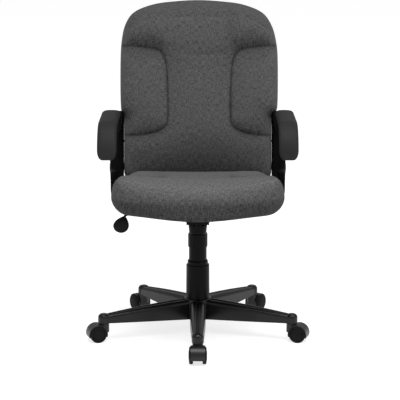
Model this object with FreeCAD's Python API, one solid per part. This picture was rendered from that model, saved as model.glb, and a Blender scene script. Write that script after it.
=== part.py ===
"""Swivel office chair: five-star base, gas lift, tilting mechanism, upholstered seat and back.

Millimetres. The origin is on the floor at the column's axis, +Z is up, the chair faces -Y
and +X is to the right of somebody looking at its front.
"""
import FreeCAD, Part
import math
import os

# ---- driving dimensions ----------------------------------------------------------------
STEM_CIRCLE_R = 283.0        # column axis to caster stem
FIRST_LEG_ANGLE = -90.0      # the first leg points forwards
LEG_COUNT = 5

HUB_R = 39.0
HUB_BOTTOM = 46.0
HUB_TOP = 104.0
LEG_END_R = 16.8
LEG_END_BOTTOM = 54.5
LEG_END_TOP = 80.5
LEG_END_ROUND = 11.0
LEG_WALL = 3.2

WHEEL_R = 24.0
WHEEL_INNER = 12.0           # half of the gap between a caster's two wheels
WHEEL_OUTER = 25.5
CASTER_TRAIL = 21.0          # stem axis to wheel axle
STEM_R = 5.5
AXLE_R = 4.0
AXLE_HALF = 23.5
RUNNING = 0.05               # radial clearance of a running fit

TUBE_R = 24.3                # steel column tube
TUBE_INNER_R = 22.5
TUBE_FOOT_R = 23.2
TUBE_BOTTOM = 40.0
TUBE_TOP = 225.0
CYLINDER_R = 14.0            # gas cylinder
CYLINDER_INNER_R = 12.0
CYLINDER_BOTTOM = 110.0
ROD_R = 5.0
COVER_WALL = 1.2

TAPER_BOTTOM = 300.0         # gas cylinder taper held by the mechanism
TAPER_TOP = 336.0
TAPER_TOP_R = 13.0

TILT_Y = -28.0               # axis of the tilt shaft
TILT_Z = 350.0
SHAFT_R = 6.0
HOUSING_HALF = 32.0
HOUSING_TOP = 362.5
SHEET = 2.5                  # pressed steel of the mechanism
TENSION_Y = -80.0
KNOB_RINGS = 5
LEVER_Z = 353.0
LEVER_ROD_R = 3.5
LEVER_REACH = 206.0
PIVOT_X = -32.5
PIVOT_R = 1.5
GRIP_HALF = 8.5
VALVE_GAP = 0.7              # free play between the lever rod and the valve pin

PLATE_TOP = 384.0            # tilt plate under the seat
BOARD_BOTTOM = 386.0
BOARD_TOP = 398.0
SEAT_CROWN = 487.0
BOARD_INSET = 40.0           # seat board edge to cushion side
ARM_BOLT_X = 155.0

BACK_FOOT_Y = 130.0          # front face of the backrest at its lower edge
BACK_FOOT_Z = 455.0
BACK_RECLINE = 9.5           # degrees from vertical
BACK_LENGTH = 500.0
BACK_FRONT_DEPTH = 58.0
BACK_DEPTH = 88.0
BACK_BOARD_FRONT = 46.0

ARM_INNER = 221.0
ARM_OUTER = 243.0
ARM_BAND = 28.0              # depth of the moulded arm in side view
PAD_INNER = 224.0
PAD_OUTER = 278.0
PAD_THICK = 15.0

LEG_ANGLES = [FIRST_LEG_ANGLE + 360.0 / LEG_COUNT * i for i in range(LEG_COUNT)]
Z_AXIS = FreeCAD.Vector(0, 0, 1)
ORIGIN = FreeCAD.Vector(0, 0, 0)


# ---- helpers ---------------------------------------------------------------------------
def vec(x, y, z):
    return FreeCAD.Vector(x, y, z)


def save(name, shape):
    shape = shape.removeSplitter()
    if not shape.isValid():
        raise ValueError(name + " is not a valid solid")
    shape.exportStep("parts/" + name + ".step")


def cyl(radius, low, high, x=0.0, y=0.0):
    return Part.makeCylinder(radius, high - low, vec(x, y, low))


def cyl_x(radius, x0, x1, y, z):
    return Part.makeCylinder(radius, x1 - x0, vec(x0, y, z), vec(1, 0, 0))


def tube(outer, inner, low, high, x=0.0, y=0.0):
    return cyl(outer, low, high, x, y).cut(cyl(inner, low, high, x, y))


def cone(r_low, r_high, low, high):
    return Part.makeCone(r_low, r_high, high - low, vec(0, 0, low))


def box(x0, x1, y0, y1, z0, z1):
    return Part.makeBox(x1 - x0, y1 - y0, z1 - z0, vec(x0, y0, z0))


def turned(points):
    """Solid of revolution about Z from (radius, height) points."""
    corners = [vec(r, 0, z) for r, z in points]
    return Part.Face(Part.makePolygon(corners + corners[:1])).revolve(ORIGIN, Z_AXIS, 360)


def spin(shape, angle):
    copy = shape.copy()
    copy.rotate(ORIGIN, Z_AXIS, angle)
    return copy


def mirrored(shape):
    return shape.mirror(ORIGIN, vec(1, 0, 0))


def both_sides(shape):
    return Part.makeCompound([shape, mirrored(shape)])


def rounded_wire(corners):
    """Closed wire through (point, radius) corners, every corner rounded by an arc."""
    count = len(corners)
    ends = []
    for i, (point, radius) in enumerate(corners):
        before = (corners[i - 1][0] - point).normalize()
        after = (corners[(i + 1) % count][0] - point).normalize()
        half = before.getAngle(after) / 2
        reach = radius / math.tan(half)
        bisector = (before + after).normalize()
        middle = point + bisector * (radius / math.sin(half) - radius)
        ends.append((point + before * reach, middle, point + after * reach))
    edges = []
    for i, (start, middle, end) in enumerate(ends):
        edges.append(Part.Arc(start, middle, end).toShape())
        edges.append(Part.makeLine(end, ends[(i + 1) % count][0]))
    return Part.Wire(edges)


# ---- base ------------------------------------------------------------------------------
def leg_section(r, width, low, high):
    """Inverted channel: rounded shoulders, a rail on each side and a groove between them."""
    half = width / 2
    shoulder = 0.62 * half
    bend = 0.293 * shoulder
    outer = vec(r, -half + 1, high - shoulder)
    crest = vec(r, -half + shoulder, high)
    lip = vec(r, -0.2 * half, high - 3)
    points = [vec(r, -half, low), outer, vec(r, -half + 0.7 + bend, high - bend), crest,
              vec(r, -0.26 * half, high - 1), lip]
    flip = [vec(p.x, -p.y, p.z) for p in points]
    return Part.Wire([
        Part.makeLine(points[0], points[1]),
        Part.Arc(points[1], points[2], points[3]).toShape(),
        Part.Arc(points[3], points[4], points[5]).toShape(),
        Part.Arc(points[5], vec(r, 0, high - 6), flip[5]).toShape(),
        Part.Arc(flip[5], flip[4], flip[3]).toShape(),
        Part.Arc(flip[3], flip[2], flip[1]).toShape(),
        Part.makeLine(flip[1], flip[0]),
        Part.makeLine(flip[0], points[0])])


def leg_hollow_section(r, width, low, high):
    half = width / 2 - LEG_WALL
    top = high - 6 - LEG_WALL
    corners = [vec(r, -half, low), vec(r, -half + 3, top), vec(r, half - 3, top), vec(r, half, low)]
    return Part.makePolygon(corners + corners[:1])


def base_leg():
    """One leg along +X, with its stem boss, hollow and ribbed underneath."""
    stations = [(24.0, 46.0, HUB_BOTTOM, HUB_TOP), (150.0, 42.5, 50.5, 93.0),
                (STEM_CIRCLE_R - 2, 31.0, LEG_END_BOTTOM, LEG_END_TOP - 3.5)]
    skin = Part.makeLoft([leg_section(*s) for s in stations], True)
    inside = Part.makeLoft([leg_hollow_section(r, w, low - 1, high) for r, w, low, high in stations],
                           True)
    boss = cyl(LEG_END_R, LEG_END_BOTTOM, LEG_END_TOP, STEM_CIRCLE_R)
    rim = [e for e in boss.Edges if abs(e.BoundBox.ZMin - LEG_END_TOP) < 0.01]
    boss = boss.makeFillet(LEG_END_ROUND, rim)
    inside = inside.cut(cyl(LEG_END_R, 0, 120, STEM_CIRCLE_R)).cut(cyl(HUB_R, 0, 120))
    for r in range(60, 250, 38):
        inside = inside.cut(box(r, r + 2.5, -30, 30, 0, 120))
    return skin.cut(inside).fuse(boss)


def five_star_base():
    solid = cyl(HUB_R, HUB_BOTTOM, HUB_TOP)
    for angle in LEG_ANGLES:
        solid = solid.fuse(spin(base_leg(), angle))
    solid = solid.fuse(cone(HUB_R, 35.5, HUB_TOP, HUB_TOP + 1.6))
    solid = solid.cut(tube(36, 30, HUB_BOTTOM - 5, 84))
    solid = solid.cut(cyl(26.5, HUB_BOTTOM - 5, HUB_TOP + 5))
    for angle in LEG_ANGLES:
        socket = cyl(STEM_R, LEG_END_BOTTOM - 1, 76, STEM_CIRCLE_R)
        recess = cyl(9, LEG_END_BOTTOM - 3, LEG_END_BOTTOM, STEM_CIRCLE_R)
        solid = solid.cut(spin(socket.fuse(recess), angle))
    save("five_star_base", solid)


def tube_foot(extra):
    """Tapered foot of the column tube, made wider by extra."""
    return cone(TUBE_FOOT_R + extra, TUBE_R + extra, TUBE_BOTTOM, HUB_TOP)


def column():
    sleeve = cyl(26.5, HUB_BOTTOM, HUB_TOP).cut(tube_foot(0))
    save("hub_sleeve", sleeve)
    shell = tube_foot(0).fuse(cyl(TUBE_R, HUB_TOP, TUBE_TOP))
    shell = shell.cut(cyl(TUBE_INNER_R, TUBE_BOTTOM + 3, TUBE_TOP)).cut(cyl(6, 0, 60))
    save("column_tube", shell)
    bush = tube(TUBE_INNER_R, CYLINDER_R + RUNNING, 150, TUBE_TOP)
    bush = bush.fuse(tube(TUBE_R, CYLINDER_R + RUNNING, TUBE_TOP, TUBE_TOP + 2))
    save("column_bush", bush)
    save("thrust_bearing", tube(19, ROD_R + 0.4, TUBE_BOTTOM + 3, TUBE_BOTTOM + 10))
    rod = cyl(ROD_R, 34, 205).fuse(cyl(10, TUBE_BOTTOM + 10, TUBE_BOTTOM + 14))
    rod = rod.fuse(cyl(CYLINDER_INNER_R - 0.1, 203, 211))
    save("piston_rod", rod.cut(tube(6, 4, 36, 38)))
    save("rod_clip", tube(9, 4, 36, 38).cut(box(0, 10, -2.5, 2.5, 30, 40)))


def covers():
    low = cone(34, 33.5, 105.6, 204).cut(cyl(32.0, 105.6, 202.4)).cut(cyl(30.1, 200, 205))
    save("cover_bottom", low)
    middle = turned([(29.8, 125), (29.8, 214), (28, 218), (26.4, 218), (26.4, 213), (28.3, 210),
                     (28.3, 125)])
    foot = tube(31.6, 29, 125, 128)
    save("cover_middle", middle.fuse(foot))
    outer = 25.8
    inner = outer - COVER_WALL
    top = tube(outer, inner, 165, 262)
    collar = turned([(26.8, 256), (27.6, 258), (27.6, 296), (26.8, 297.5), (14.3, 297.5),
                     (14.3, 294.5), (inner, 288), (inner, 256)])
    for i in range(18):
        rib = cyl(1.6, 259, 295, 26.6)
        collar = collar.fuse(spin(rib, 20 * i))
    save("cover_top", top.fuse(collar))


def gas_lift():
    body = cyl(CYLINDER_R, CYLINDER_BOTTOM, TAPER_BOTTOM)
    body = body.fuse(cone(CYLINDER_R, TAPER_TOP_R, TAPER_BOTTOM, TAPER_TOP))
    body = body.cut(cyl(CYLINDER_INNER_R, CYLINDER_BOTTOM + 10, 285))
    body = body.cut(cyl(ROD_R + RUNNING, CYLINDER_BOTTOM, CYLINDER_BOTTOM + 10))
    save("gas_cylinder", body.cut(cyl(4 + RUNNING, 285, TAPER_TOP)))
    save("valve_pin", cyl(4, 292, LEVER_Z - LEVER_ROD_R - VALVE_GAP))


# ---- casters ---------------------------------------------------------------------------
def axle_cylinder(radius, low, high):
    """Cylinder about the wheel axle, which lies along Y beside a stem at the origin."""
    return Part.makeCylinder(radius, high - low, vec(CASTER_TRAIL, low, WHEEL_R), vec(0, 1, 0))


def caster_hood():
    arch = axle_cylinder(27.4, -20, 20).common(box(-20, 60, -30, 30, 15.5, 60))
    neck = cyl(15, 27, 53.5)
    rim = [e for e in neck.Edges if abs(e.BoundBox.ZMin - 53.5) < 0.01]
    solid = arch.fuse(neck.makeFillet(2, rim))
    for low, high in ((-30, -11), (11, 30)):
        solid = solid.cut(axle_cylinder(WHEEL_R + 1.1, low, high))
    solid = solid.cut(axle_cylinder(AXLE_R, -30, 30))
    return solid.cut(cyl(STEM_R + RUNNING, 29.8, 60))


def caster_wheel():
    """Wheel on the +Y side: hub cap over a blind bore outside, hollow inside."""
    profile = [(AXLE_R + RUNNING, WHEEL_INNER), (9, WHEEL_INNER), (9, 15), (19, 15),
               (19, WHEEL_INNER + 1), (22.5, WHEEL_INNER + 1), (WHEEL_R, WHEEL_INNER + 3),
               (WHEEL_R, 21), (22.5, 23.4), (19, 24), (18, 23), (16.5, 23), (15, 24.6),
               (9, WHEEL_OUTER), (0, WHEEL_OUTER), (0, AXLE_HALF + 0.3),
               (AXLE_R + RUNNING, AXLE_HALF + 0.3)]
    wheel = turned(profile)
    wheel.rotate(ORIGIN, vec(1, 0, 0), -90)
    wheel.translate(vec(CASTER_TRAIL, 0, WHEEL_R))
    return wheel


def casters():
    left_wheel = caster_wheel()
    right_wheel = left_wheel.mirror(ORIGIN, vec(0, 1, 0))
    axle = axle_cylinder(AXLE_R, -AXLE_HALF, AXLE_HALF)
    pieces = {"caster_hood": caster_hood(), "caster_axle": axle,
              "caster_wheel_left": left_wheel, "caster_wheel_right": right_wheel}
    for i, angle in enumerate(LEG_ANGLES):
        for name, shape in pieces.items():
            placed = shape.copy()
            placed.translate(vec(STEM_CIRCLE_R, 0, 0))
            save(name + "_" + str(i + 1), spin(placed, angle))
    stem = cyl(STEM_R, 30, 75.5, STEM_CIRCLE_R).fuse(cyl(8, 53.6, LEG_END_BOTTOM, STEM_CIRCLE_R))
    save("caster_stems", Part.makeCompound([spin(stem, angle) for angle in LEG_ANGLES]))


# ---- mechanism -------------------------------------------------------------------------
def mechanism():
    side = [(vec(0, -115, HOUSING_TOP), 3), (vec(0, -115, 345), 8), (vec(0, -60, 336), 10),
            (vec(0, -30, 331), 10), (vec(0, 30, 331), 14), (vec(0, 55, 347), 8),
            (vec(0, 55, HOUSING_TOP), 3)]
    block = Part.Face(rounded_wire(side)).extrude(vec(2 * HOUSING_HALF, 0, 0))
    block.translate(vec(-HOUSING_HALF, 0, 0))
    inner = HOUSING_HALF - SHEET
    block = block.cut(box(-inner, inner, -112.5, 52.5, 300, HOUSING_TOP - SHEET))
    socket = tube(18, 10, TAPER_BOTTOM, TAPER_TOP + 6).cut(cyl(13, TAPER_TOP, TAPER_TOP + 6))
    bridge = box(-inner, inner, -8, 24, 332, 335)
    block = block.fuse(socket).fuse(bridge)
    block = block.cut(cone(CYLINDER_R, TAPER_TOP_R, TAPER_BOTTOM, TAPER_TOP))
    block = block.cut(cyl(10, 340, 370, 0, TENSION_Y))
    block = block.cut(cyl_x(SHAFT_R, -40, 40, TILT_Y, TILT_Z))
    block = block.cut(cyl_x(6.4, -HOUSING_HALF - 1, -inner + 1, 0, LEVER_Z))
    save("mechanism_housing", block)
    shaft = cyl_x(SHAFT_R, -38.5, 38.5, TILT_Y, TILT_Z)
    clip = cyl_x(9, 36, 37.5, TILT_Y, TILT_Z).cut(cyl_x(4.5, 35, 38, TILT_Y, TILT_Z))
    clips = both_sides(clip)
    save("tilt_shaft", shaft.cut(clips))
    save("shaft_clips", clips)

    coil = Part.Wire(Part.makeHelix(8.8, 35, 15))
    wire = Part.Wire(Part.makeCircle(2, vec(15, 0, 0), vec(0, 1, 0)))
    spring = coil.makePipeShell([wire], True, True)
    spring.translate(vec(0, TENSION_Y, 322.6))
    save("tension_spring", spring)

    steps = [(20, 316), (24.2, 317)]
    for i in range(KNOB_RINGS):
        radius = 24.6 + 0.45 * i
        low = 318 + 4.4 * i
        steps += [(radius, low), (radius, low + 2.6), (radius - 1, low + 3.2), (radius - 1, low + 3.8)]
    knob = turned(steps + [(26, 340), (21, 340), (21, 319.5), (0, 319.5), (0, 316)])
    knob.translate(vec(0, TENSION_Y, 0))
    save("tension_knob", knob.cut(cyl(ROD_R + RUNNING, 315, 320, 0, TENSION_Y)))
    save("tension_bolt", cyl(ROD_R, 316.5, PLATE_TOP - 3, 0, TENSION_Y))


def grip_paddle():
    """Egg-shaped paddle, thin along Y, its outline drawn in towards both flat sides."""
    outline = [(-211, 346.5), (-202.5, 335), (-199, 318), (-206, 303), (-222, 297),
               (-238.5, 303.5), (-244.8, 318), (-238.5, 332), (-225, 342)]
    middle_x, middle_z = -222.0, 321.0
    wires = []
    for depth, share in ((-1, 0.74), (-0.62, 0.94), (0, 1), (0.62, 0.94), (1, 0.74)):
        points = [vec(middle_x + (x - middle_x) * share, depth * GRIP_HALF,
                      middle_z + (z - middle_z) * share) for x, z in outline]
        curve = Part.BSplineCurve()
        curve.interpolate(points, PeriodicFlag=True)
        wires.append(Part.Wire([curve.toShape()]))
    return Part.makeLoft(wires, True)


def pivot_pin(radius):
    """Cross pin that the lever rod rocks on inside the lock slider."""
    return Part.makeCylinder(radius, 11.6, vec(PIVOT_X, -5.8, LEVER_Z), vec(0, 1, 0))


def lever():
    slider = cyl_x(6, -44, -21, 0, LEVER_Z).cut(cyl_x(4.6, -44, -21, 0, LEVER_Z))
    save("lock_slider", slider.cut(pivot_pin(PIVOT_R + RUNNING)))
    bend = 12.0
    elbow = vec(-LEVER_REACH, 0, LEVER_Z)
    turn = elbow + vec(bend, 0, 0)
    down = elbow + vec(-bend * 0.6, 0, -bend * 0.8)
    middle = elbow + vec(bend * 0.12, 0, -bend * 0.16)
    path = Part.Wire([
        Part.makeLine(vec(8, 0, LEVER_Z), turn),
        Part.Arc(turn, middle, down).toShape(),
        Part.makeLine(down, down + vec(-9, 0, -12))])
    section = Part.Wire(Part.makeCircle(LEVER_ROD_R, vec(8, 0, LEVER_Z), vec(1, 0, 0)))
    rod = path.makePipeShell([section], True, True)
    save("lever_rod", rod.fuse(pivot_pin(PIVOT_R)))
    save("lever_grip", grip_paddle().cut(rod))


# ---- seat ------------------------------------------------------------------------------
def seat_plan(inset, low, high):
    """Plan outline of the seat, drawn in by inset, as a block from low to high."""
    rear = 172 - inset
    front = -243 + inset
    half = [(150 - inset, front), (225 - inset, -205 + inset), (240 - inset, -160),
            (228 - inset, -80), (219 - inset, -10), (214 - inset, 60), (208 - inset, 130)]
    right = [vec(x, y, low) for x, y in half]
    left = [vec(-p.x, p.y, p.z) for p in reversed(right)]
    rear_right = vec(170 - inset, rear, low)
    rear_left = vec(-170 + inset, rear, low)
    front_curve = Part.BSplineCurve()
    front_curve.interpolate([left[0]] + left[1:] + right)
    rear_arc = Part.Arc(right[-1], vec(198 - inset, rear - 9, low), rear_right).toShape()
    left_arc = Part.Arc(rear_left, vec(-198 + inset, rear - 9, low), left[0]).toShape()
    wire = Part.Wire([front_curve.toShape(), rear_arc, Part.makeLine(rear_right, rear_left), left_arc])
    return Part.Face(wire).extrude(vec(0, 0, high - low))


def side_prism(points, half_width):
    """Block with a smooth side-view outline, closed along its flat bottom."""
    curve = Part.BSplineCurve()
    curve.interpolate([vec(-half_width, y, z) for y, z in points])
    first = vec(-half_width, *points[0])
    last = vec(-half_width, *points[-1])
    wire = Part.Wire([curve.toShape(), Part.makeLine(last, first)])
    return Part.Face(wire).extrude(vec(2 * half_width, 0, 0))


def seat():
    profile = [(-205, BOARD_BOTTOM), (-236, 400), (-244, 430), (-228, 462), (-180, 482),
               (-120, SEAT_CROWN), (-40, 472), (40, 458), (120, 450), (160, 438), (171, 415),
               (158, BOARD_BOTTOM)]
    outline = [(vec(-240, -250, BOARD_BOTTOM), 30), (vec(240, -250, BOARD_BOTTOM), 30),
               (vec(240, -250, 494), 46), (vec(-240, -250, 494), 46)]
    front_prism = Part.Face(rounded_wire(outline)).extrude(vec(0, 450, 0))
    cushion = seat_plan(0, BOARD_BOTTOM, 500).common(side_prism(profile, 250)).common(front_prism)
    board = seat_plan(BOARD_INSET, BOARD_BOTTOM, BOARD_TOP)
    cover = seat_plan(BOARD_INSET + 8, PLATE_TOP, BOARD_BOTTOM)
    plate = box(-85, 85, -118, -64, PLATE_TOP - 3, PLATE_TOP)
    plate = plate.fuse(box(-85, 85, 70, 124, PLATE_TOP - 3, PLATE_TOP))
    plate = plate.fuse(box(-38.8, 38.8, -70, 80, PLATE_TOP - 3, PLATE_TOP))
    ear = box(32.8, 35.3, TILT_Y - 12, TILT_Y + 12, TILT_Z - 13, PLATE_TOP)
    plate = plate.fuse(ear).fuse(mirrored(ear))
    plate = plate.cut(cyl_x(SHAFT_R + RUNNING, -40, 40, TILT_Y, TILT_Z))

    bolt_places = [(x, y) for x in (-72, 72) for y in (-91, 97)]
    plate_bolts = []
    nuts = []
    for x, y in bolt_places:
        plate_bolts.append(cyl(3, PLATE_TOP - 3, BOARD_TOP, x, y).fuse(
            cyl(6.5, PLATE_TOP - 7, PLATE_TOP - 3, x, y)))
        nuts.append(tube(4.5, 3, BOARD_TOP - 10, BOARD_TOP, x, y))
    arm_bolts = []
    for x, y in [(side * ARM_BOLT_X, y) for side in (-1, 1) for y in (15, 65)]:
        arm_bolts.append(cyl(3, 376, BOARD_TOP, x, y).fuse(cyl(6.5, 372, 376, x, y)))
        nuts.append(tube(4.5, 3, BOARD_TOP - 10, BOARD_TOP, x, y))
    bolts = Part.makeCompound(plate_bolts)
    arm_seat_bolts = Part.makeCompound(arm_bolts)
    t_nuts = Part.makeCompound(nuts)
    save("seat_cushion", cushion.cut(board).cut(t_nuts))
    save("seat_board", board.cut(bolts).cut(arm_seat_bolts).cut(t_nuts))
    save("seat_underside_cover", cover.cut(bolts).cut(arm_seat_bolts))
    save("tilt_plate", plate.cut(bolts))
    save("mechanism_bolts", bolts)
    save("arm_seat_bolts", arm_seat_bolts)
    save("t_nuts", t_nuts)
    return arm_seat_bolts


# ---- backrest and arms -----------------------------------------------------------------
def reclined(shape):
    """Moves a shape from the upright back frame (X across, Y deep, Z up) to its place."""
    copy = shape.copy()
    copy.rotate(ORIGIN, vec(1, 0, 0), -BACK_RECLINE)
    copy.translate(vec(0, BACK_FOOT_Y, BACK_FOOT_Z))
    return copy


def back_plan(inset, front, rear):
    """Backrest outline, drawn in by inset, between two depths of the back frame."""
    side = [(219, 45), (219, 110), (219.2, 170), (223, 190), (228.5, 212), (230, 250),
            (228.5, 375), (219, 428), (193, 467), (110, 492), (0, BACK_LENGTH)]
    right = []
    for x, s in side:
        right.append(vec(max(x - inset, 0), front, s - inset * s / BACK_LENGTH))
    left = [vec(-p.x, p.y, p.z) for p in reversed(right[:-1])]
    curve = Part.BSplineCurve()
    curve.interpolate(right + left)
    foot = inset
    corner = 180 - inset
    low_right = vec(corner, front, foot)
    low_left = vec(-corner, front, foot)
    arc_right = Part.Arc(low_right, vec(207 - inset, front, foot + 13), right[0]).toShape()
    arc_left = Part.Arc(left[-1], vec(-207 + inset, front, foot + 13), low_left).toShape()
    wire = Part.Wire([arc_right, curve.toShape(), arc_left, Part.makeLine(low_left, low_right)])
    return Part.Face(wire).extrude(vec(0, rear - front, 0))


def side_loop(grow):
    """Outline of the arm in side view, made larger by grow."""
    corners = [(vec(0, -150, 620), 74), (vec(0, 232, 629), 45), (vec(0, 190, 392), 50),
               (vec(0, -8, 392), 40), (vec(0, -8, 474), 40), (vec(0, -150, 512), 44)]
    wire = rounded_wire(corners)
    if grow:
        wire = wire.makeOffset2D(grow)
    return Part.Face(wire)


def extruded(face, x0, x1):
    solid = face.extrude(vec(x1 - x0, 0, 0))
    solid.translate(vec(x0, 0, 0))
    return solid


def back_and_arms(arm_seat_bolts):
    front = reclined(back_plan(0, 0, BACK_FRONT_DEPTH))
    board = reclined(back_plan(16, BACK_BOARD_FRONT, BACK_FRONT_DEPTH))
    rear = reclined(back_plan(3, BACK_FRONT_DEPTH, BACK_DEPTH))

    bolts = []
    for s in (90, 150):
        lean = math.radians(BACK_RECLINE)
        depth = (BACK_BOARD_FRONT + BACK_FRONT_DEPTH) / 2
        y = BACK_FOOT_Y + s * math.sin(lean) + depth * math.cos(lean)
        z = BACK_FOOT_Z + s * math.cos(lean) - depth * math.sin(lean)
        bolt = cyl_x(3, 190, ARM_OUTER, y, z).fuse(cyl_x(8, ARM_OUTER, ARM_OUTER + 4, y, z))
        bolts.append(bolt)
        bolts.append(mirrored(bolt))
    arm_back_bolts = Part.makeCompound(bolts)

    frame = extruded(side_loop(0), ARM_INNER, ARM_OUTER)
    frame = frame.cut(extruded(side_loop(-ARM_BAND), ARM_INNER, ARM_OUTER))
    foot = box(ARM_BOLT_X - 25, ARM_OUTER, 0, 80, 376, PLATE_TOP - 0.2)
    frame = frame.fuse(foot).fuse(box(ARM_INNER, ARM_OUTER, 0, 80, 376, 396))
    frame = frame.cut(arm_seat_bolts).cut(arm_back_bolts)

    pad = extruded(side_loop(PAD_THICK), PAD_INNER, PAD_OUTER)
    pad = pad.cut(extruded(side_loop(0), ARM_INNER, PAD_OUTER))
    pad = pad.common(box(0, 300, -200, 105, 530, 700))
    save("arm_left", mirrored(frame))
    save("arm_right", frame)
    save("armrest_pad_left", mirrored(pad))
    save("armrest_pad_right", pad)
    save("arm_back_bolts", arm_back_bolts)
    save("backrest_board", board.cut(arm_back_bolts))
    save("backrest_cushion", front.cut(board).cut(arm_back_bolts))
    save("backrest_rear_panel", rear)


os.makedirs("parts", exist_ok=True)
five_star_base()
column()
covers()
gas_lift()
casters()
mechanism()
lever()
back_and_arms(seat())
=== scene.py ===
import bmesh
import bpy
import math
import numpy as np
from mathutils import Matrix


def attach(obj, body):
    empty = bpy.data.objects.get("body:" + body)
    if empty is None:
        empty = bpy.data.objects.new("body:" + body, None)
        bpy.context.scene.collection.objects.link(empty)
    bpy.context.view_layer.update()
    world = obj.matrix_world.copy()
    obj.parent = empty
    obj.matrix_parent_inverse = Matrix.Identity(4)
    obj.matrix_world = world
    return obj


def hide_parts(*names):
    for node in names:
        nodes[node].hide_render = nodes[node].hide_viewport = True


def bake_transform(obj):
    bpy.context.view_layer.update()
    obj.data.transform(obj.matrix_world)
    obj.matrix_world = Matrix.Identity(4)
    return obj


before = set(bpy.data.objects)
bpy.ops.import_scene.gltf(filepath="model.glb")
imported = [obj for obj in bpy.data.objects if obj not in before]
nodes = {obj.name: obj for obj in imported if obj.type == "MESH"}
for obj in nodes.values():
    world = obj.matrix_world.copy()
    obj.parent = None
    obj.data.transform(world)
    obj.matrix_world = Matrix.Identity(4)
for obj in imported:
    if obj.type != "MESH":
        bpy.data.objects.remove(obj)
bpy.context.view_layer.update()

# ---- Studio ----------------------------------------------------------------------------
# A pale, back-lit seamless floor, a large soft light overhead, a key from the right, a weak
# fill from the left, and a long lens that looks slightly down on the chair's front.
CAMERA_DISTANCE = 4.15
CAMERA_HEIGHT = 1.25
CAMERA_PITCH = 11.65
CAMERA_LENS = 132.4
CAMERA_SHIFT = 0.0055
FLOOR_HALF = 400.0


def area_light(name, place, target, size, power):
    """Square soft light at place, aimed at target."""
    data = bpy.data.lights.new(name, "AREA")
    data.size = size
    data.energy = power
    lamp = bpy.data.objects.new(name, data)
    direction = np.subtract(target, place)
    flat = math.hypot(direction[0], direction[1])
    lamp.location = place
    lamp.rotation_euler = (math.atan2(flat, -direction[2]), 0.0,
                           math.atan2(direction[1], direction[0]) - math.pi / 2)
    bpy.context.collection.objects.link(lamp)


def build_mesh(name, points, faces):
    """Mesh object from an array of points and an array or list of faces, smooth shaded."""
    data = bpy.data.meshes.new(name)
    data.from_pydata(np.asarray(points, float).reshape(-1, 3).tolist(), [], [list(f) for f in faces])
    data.update()
    data.polygons.foreach_set("use_smooth", np.ones(len(data.polygons), bool))
    thing = bpy.data.objects.new(name, data)
    bpy.context.collection.objects.link(thing)
    return thing


def plain_material(name, colour, roughness, specular=0.5):
    """Principled material; returns it with its node tree and shader for further nodes."""
    material = bpy.data.materials.new(name)
    material.use_nodes = True
    tree = material.node_tree
    shader = tree.nodes["Principled BSDF"]
    shader.inputs["Base Color"].default_value = (*colour, 1)
    shader.inputs["Roughness"].default_value = roughness
    shader.inputs["Specular IOR Level"].default_value = specular
    return material, tree, shader


floor_corners = [(-FLOOR_HALF, -FLOOR_HALF, 0), (FLOOR_HALF, -FLOOR_HALF, 0),
                 (FLOOR_HALF, FLOOR_HALF, 0), (-FLOOR_HALF, FLOOR_HALF, 0)]
studio_floor = build_mesh("studio_floor", floor_corners, [(0, 1, 2, 3)])
floor_material, _, floor_shader = plain_material("pale_floor", (0.5, 0.5, 0.5), 0.95, 0.05)
floor_shader.inputs["Emission Color"].default_value = (1, 1, 1, 1)
floor_shader.inputs["Emission Strength"].default_value = 0.73
studio_floor.data.materials.append(floor_material)

world = bpy.data.worlds.new("soft_studio")
world.use_nodes = True
world.node_tree.nodes["Background"].inputs["Color"].default_value = (1, 1, 1, 1)
world.node_tree.nodes["Background"].inputs["Strength"].default_value = 0.5
bpy.context.scene.world = world
bpy.context.scene.view_settings.view_transform = "Standard"
area_light("overhead_softbox", (0.3, -1.5, 4.8), (0, 0, 0.4), 2.8, 190)
area_light("key_softbox", (2.6, -1.8, 2.0), (0, 0, 0.5), 1.4, 22)
area_light("fill_softbox", (-2.8, -2.2, 1.4), (0, 0, 0.5), 1.6, 6.5)

camera_data = bpy.data.cameras.new("camera")
camera_data.lens = CAMERA_LENS
camera_data.shift_x = CAMERA_SHIFT
camera = bpy.data.objects.new("camera", camera_data)
camera.location = (0, -CAMERA_DISTANCE, CAMERA_HEIGHT)
camera.rotation_euler = (math.radians(90 - CAMERA_PITCH), 0, 0)
bpy.context.collection.objects.link(camera)
bpy.context.scene.camera = camera

# ---- Moulded and metal parts of the frame ----------------------------------------------
# Nylon base, plastic column cover, powder-coated steel and zinc-plated fasteners. Each keeps
# its solid from the frame and gets the grain and the uneven gloss of its own finish.


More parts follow.
